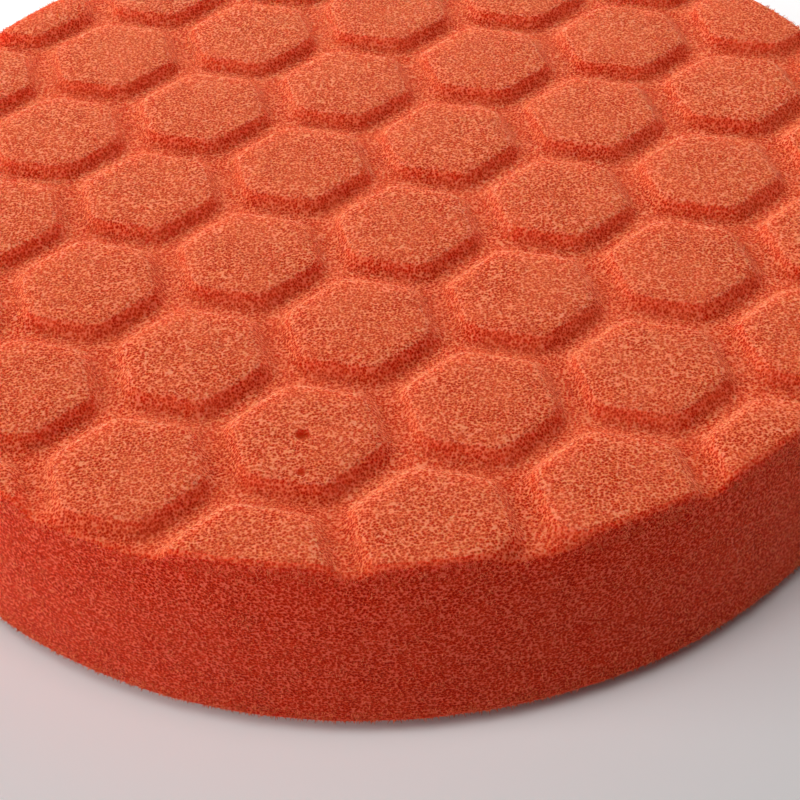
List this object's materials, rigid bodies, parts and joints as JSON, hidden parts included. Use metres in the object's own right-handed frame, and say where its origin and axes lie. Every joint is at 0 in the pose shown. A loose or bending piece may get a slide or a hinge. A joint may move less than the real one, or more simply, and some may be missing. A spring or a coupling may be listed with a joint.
{
  "type": "foam polishing pad",
  "caption": "Round open-cell foam polishing pad with a hexagon-grooved working face, a plain cut wall and a bonded hook-and-loop back for a rotary or orbital polisher.",
  "frame": {"origin": "centre of the loop face, which is the lowest face when the pad lies face up", "axes": "+Z along the pad's axis, out of the hexagonal working face; two flats of every hexagonal cell face +X and -X"},
  "size_m": [0.165, 0.165, 0.0343],
  "materials": {
    "orange_foam": "matte",
    "hot_melt_adhesive": "satin",
    "barrier_film": "satin",
    "knit_ground": "matte",
    "loop_pile": "matte"
  },
  "bodies": {
    "root": {"foam_disc": "orange_foam", "adhesive_film": "hot_melt_adhesive", "barrier_film": "barrier_film", "loop_ground": "knit_ground", "loop_pile": "loop_pile"}
  },
  "joints": []
}
